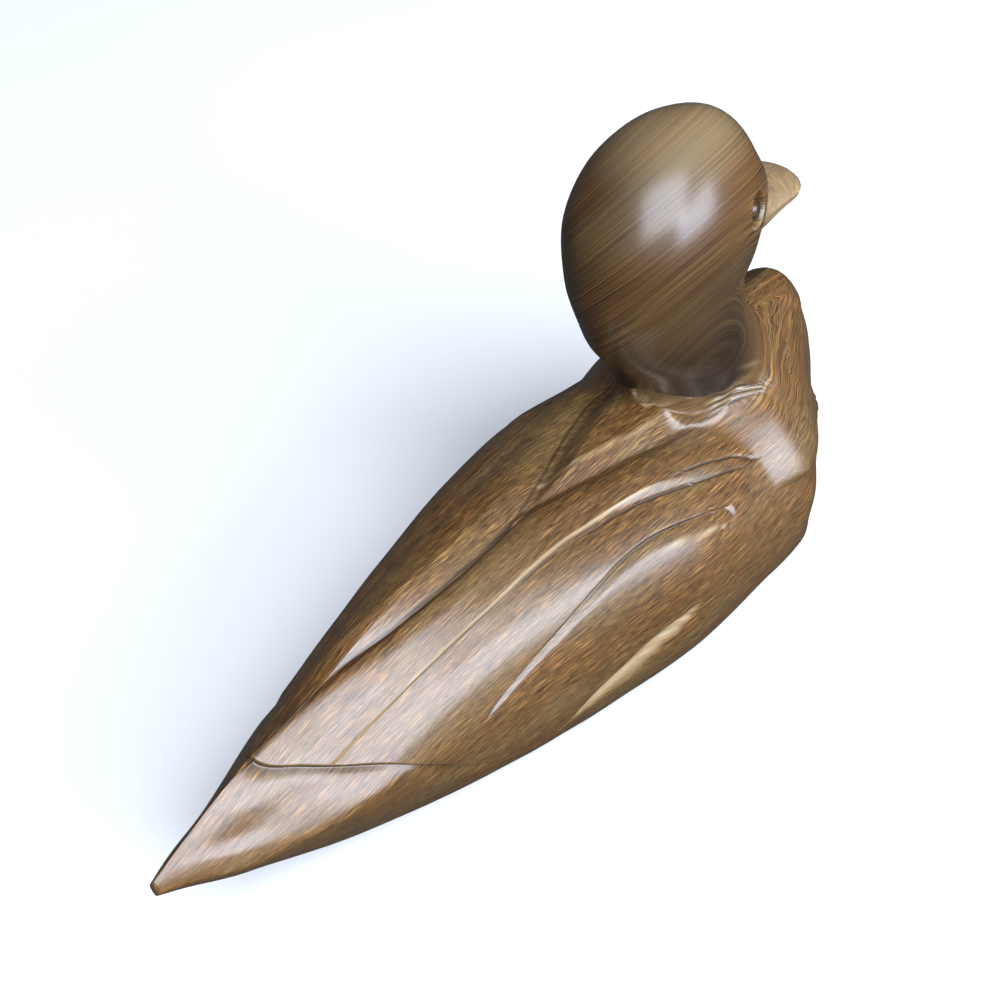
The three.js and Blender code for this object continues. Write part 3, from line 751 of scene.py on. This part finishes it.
def cut_bill(carving, points):
    """The seam where the bill leaves the face, the mouth, the handled bill, and the crown paled by
    handling and painted reflection.
    """
    x, y, z = np.moveaxis(points, -1, 0)
    off_bill, off_head = bill_distance(x, y, z), head_distance(x, y, z)
    seam = np.clip(1 - (np.abs(off_bill) + np.abs(off_head)) / 1.6, 0, 1)
    ahead = smoothstep(-y, 108, 112)
    mouth = groove(z - MOUTH_Z, 0.7) * extent(-y, 113, 117, 136, 139) * (np.abs(x) > 5)
    pale = 0.5 * (1 - smoothstep(off_bill, 0.3, 2)) * smoothstep(-y, 106, 116)
    # Painted shade with dirt darkens the seam and mouth; the bill is paled by handling, the crown
    # by handling and a painted reflection
    carving.cut(
        (0.5 * seam + 0.6 * mouth) * ahead,
        np.maximum(0.6 * seam, 0.9 * mouth) * ahead,
        np.maximum(pale, 0.3 * smoothstep(z, 163, 178)),
    )


def eye_centre(side):
    """Where the eye's middle lies on the smooth head."""
    start = np.array([[0.0, EYE_Y, EYE_Z]])
    sideways = np.array([[-float(side), 0.0, 0.0]])
    return (start + sideways * surface_reach(start, sideways)[:, None])[0]


def cut_eye(carving, points, centre):
    """A low dome that a ring cut leaves standing, deeper on its front, and the lip round it."""
    distance = np.linalg.norm(points - centre, axis=-1)
    front = smoothstep(centre[1] - points[..., 1], -3.5, 3.5)
    ring = profile(distance, *EYE_RING) * (1.2 + 1.3 * front)
    dome = DOME_HEIGHT * np.clip(1 - (distance / DOME_RADIUS) ** 2, 0, 1)
    dome -= DOME_SUNK * front * (distance < DOME_RADIUS)
    lip = LIP_HEIGHT * np.exp(-(((distance - LIP_RADIUS) / LIP_WIDTH) ** 2))
    # Painted shade darkens the ring's recess and the dome, deepest in front; a painted highlight
    # pales the lip below the eye
    dirt_and_painted_shade = np.where(distance < 4.2, 0.55 + 0.45 * front, groove(distance - 4.2, 1.6))
    low = smoothstep(centre[2] - points[..., 2], 1, 5)
    carving.cut(ring - dome - lip, dirt_and_painted_shade, 0.6 * low * groove(distance - 5.9, 0.8))


def tool_marks(points, height=0.07):
    """The slight waves that knife and scraper leave over the whole surface."""
    x, y, z = np.moveaxis(points, -1, 0)
    waves = np.sin(x / 5.1 + y / 7.3) * np.sin(z / 6.2 - y / 9.7 + 1.3)
    waves += np.sin(x / 8.7 - z / 4.9 + 2.1) * np.sin(y / 5.8 + 0.4 + x / 11)
    return height * waves


def carve(points, eyes):
    """All the cuts: the wings' own fade out before the neck, and the rest are made after them."""
    x, y, z = np.moveaxis(points, -1, 0)
    carving = Carving(points)
    cut_mantle(carving, points)
    cut_feather(carving, points)
    cut_quill(carving, points)
    cut_scoop(carving, points)
    dip = extent(np.abs(body_angle(points)[0]), 36, 60, 80, 110) * np.exp(-(((y + 127) / 11) ** 2))
    carving.cut(1.4 * dip)
    carving.keep(smoothstep(head_distance(x, y, z), 0, 3))
    cut_tail_step(carving, points)
    cut_neck(carving, points)
    cut_bill(carving, points)
    for eye in eyes:
        cut_eye(carving, points, eye)
    carving.cut(tool_marks(points))
    return carving


def old_oil_and_painted_shade(points):
    """How much darker the wood is drawn round the nape and down the back of the head: old oil,
    with painted shade on the head's lower part and its left side.
    """
    x, y, z = np.moveaxis(points, -1, 0)
    above_foot = body_distance(x, y, z) - neck_foot(body_angle(points)[0])[0]
    on_neck = (1 - smoothstep(head_distance(x, y, z), 0.5, 5)) * smoothstep(above_foot, -0.6, 0.6)
    # Painted shade: low darkens the head towards the bottom, and leftwards its left side, away
    # from the lights
    low = 1 - smoothstep(z, 92, 152)
    behind = 1 - 0.75 * smoothstep(-y, 84, 108)
    leftwards = smoothstep(x, -8, 16) * (1 - 0.6 * smoothstep(z, 140, 172))
    face = smoothstep(-y, 60, 100) * smoothstep(z, 125, 150)
    worst = np.maximum(np.maximum(low * behind, 0.85 * leftwards), 0.45 * (1 - face))
    return np.clip(on_neck * worst, 0, 1)


# ---------------------------------------------------------------- the duck


def refine(mesh, region, times):
    """Cuts the faces of a region finer; region takes points in millimetres."""
    for _ in range(times):
        wanted = region(np.array([vertex.co for vertex in mesh.verts]) / METRE)
        mesh.verts.ensure_lookup_table()
        mesh.verts.index_update()
        edges = [e for e in mesh.edges if wanted[e.verts[0].index] and wanted[e.verts[1].index]]
        bmesh.ops.subdivide_edges(mesh, edges=edges, cuts=1, use_grid_fill=True)


def near_neck_cuts(places):
    """The three fine cuts on the duck's right."""
    cut = beside(places, neck_cut_route)
    x, y, z = places.T
    return (x < 0) & (cut > -1.1) & (cut < 3.7) & (y > -103) & (y < -74) & (z < 92)


def near_nape(places):
    """The foot of the nape, where the dark wood ends and the gouge runs."""
    x, y, z = places.T
    on_nape = (np.abs(head_distance(x, y, z)) < 1.8) & (body_distance(x, y, z) < 9.8)
    return on_nape & (y > -81) & (y < -55) & (x < 6) & (z > 70)


def near_bill_seam(places):
    """The bill's seam and the mouth."""
    x, y, z = places.T
    seam = np.abs(bill_distance(x, y, z)) + np.abs(head_distance(x, y, z)) < 1.9
    mouth = (np.abs(z - MOUTH_Z) < 1.1) & (y < -112)
    return (seam & (y < -106)) | mouth


def on_breast(places):
    """Where the scraper has taken off the ridges between the breast's upper and lower half."""
    x, y, z = places.T
    return (y < -99) & (z > 24) & (z < 82) & (head_distance(x, y, z) > 6)


def near_breast(places):
    """The breast's sides, where the net is stretched widest."""
    x, y, z = places.T
    on_body = (np.abs(body_distance(x, y, z)) < 1) & (head_distance(x, y, z) > 8)
    return on_body & (y < -112) & (np.abs(x) > 10) & (z > 22) & (z < 92)


def carved_duck(scrapes=24):
    """A sphere's net laid over the smooth form ring by ring, then cut by the tools."""
    halves = {side: half_rings(side) for side in (RIGHT, LEFT)}
    mesh = bmesh.new()
    bmesh.ops.create_uvsphere(mesh, u_segments=COLUMNS, v_segments=RINGS + 1, radius=1)
    sphere = np.array([vertex.co for vertex in mesh.verts])
    ring = np.rint(np.arccos(np.clip(sphere[:, 2], -1, 1)) * (RINGS + 1) / math.pi).astype(int)
    turn = np.arctan2(sphere[:, 1], sphere[:, 0]) * COLUMNS / (2 * math.pi)
    column = np.rint(turn).astype(int) % COLUMNS
    folded = np.minimum(column, COLUMNS - column)
    row = np.clip(ring - 1, 0, RINGS - 1)
    on_left = (column <= HALF_COLUMNS)[:, None]
    points = np.where(on_left, halves[LEFT][row, folded], halves[RIGHT][row, folded])
    points[ring == 0] = (0, TAIL_TIP, body_row(np.array(float(TAIL_TIP)))[3])
    points[ring == RINGS + 1] = (0, BILL_ROOT_Y - BILL_CAP[1], BILL_ROOT_Z)
    for vertex, point in zip(mesh.verts, points * METRE):
        vertex.co = point

    # the grain's own map, in which the underside's middle line is at both ends of each ring
    grain = grain_places(halves) * METRE
    layer = mesh.loops.layers.uv.new("grain")
    mesh.verts.index_update()
    for face in mesh.faces:
        numbers = [loop.vert.index for loop in face.loops]
        leftwards = any(0 < column[n] < HALF_COLUMNS for n in numbers)
        for loop, n in zip(face.loops, numbers):
            place = HALF_COLUMNS - folded[n] if leftwards else HALF_COLUMNS + folded[n]
            loop[layer].uv = grain[row[n], place]

    eyes = [eye_centre(RIGHT), eye_centre(LEFT)]

    def near_eyes(places):
        return np.min([np.linalg.norm(places - eye, axis=-1) for eye in eyes], axis=0) < EYE_REACH

    for region, times in (
        (near_eyes, 2), (near_neck_cuts, 2), (near_nape, 1), (near_bill_seam, 1), (near_breast, 1),
    ):
        refine(mesh, region, times)
    bmesh.ops.recalc_face_normals(mesh, faces=mesh.faces)

    places = settle(np.array([vertex.co for vertex in mesh.verts]) / METRE)
    outwards = form_slope(places)
    outwards /= np.linalg.norm(outwards, axis=-1, keepdims=True)
    carving = carve(places, eyes)
    places -= outwards * (carving.depth * smoothstep(places[:, 2], 0, FLAT_FADE))[:, None]
    low, high = (np.array(corner) / METRE for corner in cad_box)
    places = np.clip(places, low, high)
    for vertex, place in zip(mesh.verts, places * METRE):
        vertex.co = place
    scraped = [vertex for vertex, wanted in zip(mesh.verts, on_breast(places)) if wanted]
    for _ in range(scrapes):
        bmesh.ops.smooth_vert(
            mesh, verts=scraped, factor=0.5, use_axis_x=True, use_axis_y=True, use_axis_z=True
        )
    for face in mesh.faces:
        face.smooth = True

    data = bpy.data.meshes.new("carved_duck")
    mesh.to_mesh(data)
    mesh.free()
    # The dirt, wear and old oil attributes also carry painted shade and painted light
    for name, values in (
        ("dirt_and_painted_shade", carving.dirt_and_painted_shade), ("wear_and_painted_light", carving.wear_and_painted_light), ("old_oil_and_painted_shade", old_oil_and_painted_shade(places)),
    ):
        layer = data.attributes.new(name, "FLOAT", "POINT")
        layer.data.foreach_set("value", np.clip(values, 0, 1).astype(np.float32))
    duck = bpy.data.objects.new("carved_duck", data)
    bpy.context.scene.collection.objects.link(duck)
    return duck


# ---------------------------------------------------------------- materials

# The walnut's colours: its fibres from dark to pale, the red-brown figure, the olive patches, the
# pores, the wood that old oil and painted shade have darkened, the handled edges with painted
# highlights, and the dirt and painted shade in the cuts
FIBRES = [(0.3, "#2f1c0a"), (0.45, "#5a401f"), (0.55, "#73542d"), (0.7, "#a98048")]
FIGURE, PATCHES, PORES = "#93602a", "#6a5f3e", "#1f1308"
OLD_OIL_AND_PAINTED_SHADE, HANDLED_AND_PAINTED_LIGHT, DIRT_AND_PAINTED_SHADE = "#0d0703", "#cbb48a", "#100903"
PAPER, ROOM, HIGH_SKY, LOW_SKY = "#e9e9e8", "#ffffff", "#e9f1ff", "#e4eeff"


def linear(code):
    """An sRGB hex colour as linear red, green, blue and alpha."""
    parts = [int(code[i : i + 2], 16) / 255 for i in (1, 3, 5)]
    return [p / 12.92 if p <= 0.04045 else ((p + 0.055) / 1.055) ** 2.4 for p in parts] + [1.0]


def new_material(name):
    """A material with no nodes yet."""
    material = bpy.data.materials.new(name)
    material.use_nodes = True
    material.node_tree.nodes.clear()
    return material


def add(material, kind, settings=None, **links):
    """Adds a node. Settings are its own properties, and links its inputs, as values or sockets.

    An input is given by its name, or by i and its number where several have one name."""
    node = material.node_tree.nodes.new(kind)
    for key, value in (settings or {}).items():
        setattr(node, key, value)
    for key, value in links.items():
        numbered = key[0] == "i" and key[1:].isdigit()
        socket = node.inputs[int(key[1:]) if numbered else key.replace("_", " ")]
        if isinstance(value, bpy.types.NodeSocket):
            material.node_tree.links.new(value, socket)
        else:
            socket.default_value = value
    return node


def oiled_walnut():
    """Walnut, carved, scraped and oiled.

    Open dark pores run with the grain, and the oil, rubbed in and worn by hands, lies over them as
    a satin skin: soft, wide highlights, darker where old oil has gathered and with painted shade
    on the head and in the cuts, paler on edges with wear and painted highlights."""
    wood = new_material("oiled_walnut")
    place = add(wood, "ShaderNodeAttribute", {"attribute_name": "grain"}).outputs["Vector"]

    def along_grain(across, along):
        """Coordinates in which one unit is a streak's width across the grain and length along."""
        size = (across * METRE, along * METRE, METRE)
        node = add(wood, "ShaderNodeMapping", {"vector_type": "TEXTURE"}, Vector=place, Scale=size)
        return node.outputs["Vector"]

    def noise(vector, detail, roughness, distortion=0.0):
        node = add(
            wood, "ShaderNodeTexNoise", Vector=vector, Scale=1.0, Detail=detail,
            Roughness=roughness, Distortion=distortion,
        )
        return node.outputs["Fac"]

    def ramp(value, stops):
        node = add(wood, "ShaderNodeValToRGB", Fac=value)
        colours = node.color_ramp.elements
        while len(colours) < len(stops):
            colours.new(0.5)
        for colour, (position, code) in zip(colours, stops):
            colour.position, colour.color = position, linear(code)
        return node.outputs["Color"]

    def level(value, low, high, to_low=0.0, to_high=1.0):
        node = add(
            wood, "ShaderNodeMapRange", {"clamp": True}, Value=value, From_Min=low, From_Max=high,
            To_Min=to_low, To_Max=to_high,
        )
        return node.outputs["Result"]

    def blend(share, first, second, kind="MIX"):
        node = add(
            wood, "ShaderNodeMix", {"data_type": "RGBA", "blend_type": kind}, i0=share, i6=first,
            i7=second,
        )
        return node.outputs[2]

    def carved(name):
        return add(wood, "ShaderNodeAttribute", {"attribute_name": name}).outputs["Fac"]

    # Sizes in millimetres. A walnut's pores are about 0.15 wide and its fibres finer still, too
    # fine to show, so both are drawn about as wide as one point of the picture.
    fibres = noise(along_grain(0.27, 9), 2, 0.6)
    pores = noise(along_grain(0.24, 4), 1, 0.5)
    figure = noise(along_grain(1.2, 34), 2, 0.6, 0.3)
    patches = noise(along_grain(18, 60), 2, 0.5)

    colour = ramp(fibres, FIBRES)
    colour = blend(level(figure, 0.36, 0.64, 0, 0.5), colour, linear(FIGURE), "OVERLAY")
    colour = blend(level(patches, 0.42, 0.68, 0, 0.35), colour, linear(PATCHES))
    colour = blend(level(pores, 0.56, 0.68, 0, 0.7), colour, linear(PORES))
    # Painted shade comes in with the old oil and the dirt, and painted light with the wear
    colour = blend(level(carved("old_oil_and_painted_shade"), 0, 1, 0, 0.93), colour, linear(OLD_OIL_AND_PAINTED_SHADE))
    colour = blend(level(carved("wear_and_painted_light"), 0, 1, 0, 0.6), colour, linear(HANDLED_AND_PAINTED_LIGHT))
    colour = blend(level(carved("dirt_and_painted_shade"), 0, 1, 0, 0.9), colour, linear(DIRT_AND_PAINTED_SHADE))

    rough = level(fibres, 0.3, 0.7, 0.6, 0.48)
    bump = add(wood, "ShaderNodeBump", Strength=0.25, Distance=0.08 * METRE, Height=fibres)
    shader = add(
        wood, "ShaderNodeBsdfPrincipled", Base_Color=colour, Roughness=rough, IOR=1.5,
        Normal=bump.outputs["Normal"], Specular_IOR_Level=0.3, Coat_Weight=1.0,
        Coat_Roughness=0.27, Coat_IOR=1.5, Coat_Normal=bump.outputs["Normal"],
    )
    add(wood, "ShaderNodeOutputMaterial", Surface=shader.outputs["BSDF"])
    return wood


def paper_floor():
    """White paper, uncoated: matt, with no highlight of its own."""
    paper = new_material("white_paper")
    shader = add(
        paper, "ShaderNodeBsdfPrincipled", Base_Color=linear(PAPER), Roughness=0.9, IOR=1.45
    )
    add(paper, "ShaderNodeOutputMaterial", Surface=shader.outputs["BSDF"])
    return paper


# ---------------------------------------------------------------- stage, light and camera


FLOOR_HALF, FLOOR_DROP = 3, 0.0002  # metres, and just clear of the duck's flat
LIT_POINT = Vector((0, 0, 0.06))  # the middle of the duck, at which the lights point
WINDOW_DISTANCE = 2.85
ROOM_STRENGTH = 0.07  # what the room's walls send back


def aim(thing, target):
    """Turns a light to point at a target."""
    direction = Vector(target) - thing.location
    thing.rotation_mode = "QUATERNION"
    thing.rotation_quaternion = direction.to_track_quat("-Z", "Y")


def bearing(azimuth, elevation):
    """The direction of a place round the duck: azimuth 0 is ahead of it and 270 on its right."""
    a, e = math.radians(azimuth), math.radians(elevation)
    return Vector((math.sin(a) * math.cos(e), -math.cos(a) * math.cos(e), math.sin(e)))


def soft_window(name, azimuth, elevation, width, height, power, colour):
    """A large soft light, as wide and high in metres as a window, in watts."""
    light = bpy.data.lights.new(name, "AREA")
    light.shape, light.size, light.size_y = "RECTANGLE", width, height
    light.energy, light.color = power, linear(colour)[:3]
    lamp = bpy.data.objects.new(name, light)
    bpy.context.scene.collection.objects.link(lamp)
    lamp.location = LIT_POINT + bearing(azimuth, elevation) * WINDOW_DISTANCE
    aim(lamp, LIT_POINT)


def stage():
    """A plain pale floor under soft daylight from the duck's right and from behind it."""
    mesh = bmesh.new()
    bmesh.ops.create_grid(mesh, x_segments=1, y_segments=1, size=FLOOR_HALF)
    bmesh.ops.translate(mesh, verts=mesh.verts, vec=(0, 0, -FLOOR_DROP))
    data = bpy.data.meshes.new("floor")
    mesh.to_mesh(data)
    mesh.free()
    floor = bpy.data.objects.new("floor", data)
    floor.visible_diffuse = floor.visible_glossy = False  # it takes shadows, and lights nothing
    data.materials.append(paper_floor())
    bpy.context.scene.collection.objects.link(floor)

    soft_window("window", 236, 50, width=2.7, height=2.3, power=184, colour=HIGH_SKY)
    soft_window("low_window", 278, 20, width=2.4, height=1.5, power=130, colour=LOW_SKY)
    world = bpy.data.worlds.new("room")
    bpy.context.scene.world = world
    world.use_nodes = True
    background = world.node_tree.nodes["Background"]
    background.inputs["Color"].default_value = linear(ROOM)
    background.inputs["Strength"].default_value = ROOM_STRENGTH
    bpy.context.scene.view_settings.view_transform = "Standard"


# The photograph's camera, found from the bird's outline: metres and degrees, and the lens's own mm
CAMERA_TARGET = Vector((0.0183, -0.0170, 0.0625))
CAMERA_AZIMUTH, CAMERA_ELEVATION, CAMERA_ROLL = 224.0, 41.4, -3.6
CAMERA_DISTANCE = 0.6356
SENSOR, LENS = 36.0, 71.14


def camera():
    """The camera at the photograph's place, with its roll."""
    back = bearing(CAMERA_AZIMUTH, CAMERA_ELEVATION)
    data = bpy.data.cameras.new("camera")
    data.sensor_width, data.lens = SENSOR, LENS
    data.clip_start, data.clip_end = 0.01, 20
    viewer = bpy.data.objects.new("camera", data)
    bpy.context.scene.collection.objects.link(viewer)
    viewer.location = CAMERA_TARGET + back * CAMERA_DISTANCE
    viewer.rotation_mode = "QUATERNION"
    roll = Quaternion((0, 0, 1), math.radians(CAMERA_ROLL))
    viewer.rotation_quaternion = (-back).to_track_quat("-Z", "Y") @ roll
    bpy.context.scene.camera = viewer


camera()
stage()
duck = carved_duck()
duck.data.materials.append(oiled_walnut())
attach(duck, "root")
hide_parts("duck")
